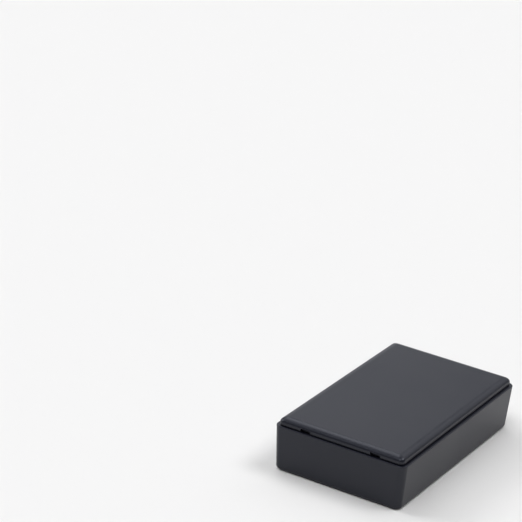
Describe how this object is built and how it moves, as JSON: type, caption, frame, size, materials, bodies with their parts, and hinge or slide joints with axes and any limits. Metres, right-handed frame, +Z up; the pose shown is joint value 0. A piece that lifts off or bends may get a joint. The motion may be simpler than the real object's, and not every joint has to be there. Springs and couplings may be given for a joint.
{
  "type": "plastic project box",
  "caption": "Small rectangular moulded box for electronics: a deep tray with leaning walls and board posts inside, closed by a shallow press-on lid with rounded edges and pry slots.",
  "frame": {"origin": "middle of the underside of the base", "axes": "+Z up out of the lid, +X along the length, +Y along the width"},
  "size_m": [0.1, 0.06, 0.0234],
  "materials": {
    "base_plastic": "satin moulded black plastic",
    "lid_plastic": "satin moulded black plastic"
  },
  "bodies": {
    "base": {"base": "base_plastic"},
    "lid": {"lid": "lid_plastic"}
  },
  "joints": [
    {"name": "lid_lift", "type": "slide", "parent": "base", "child": "lid", "axis": [0, 0, 1], "range_m": [0, 0.04]}
  ]
}
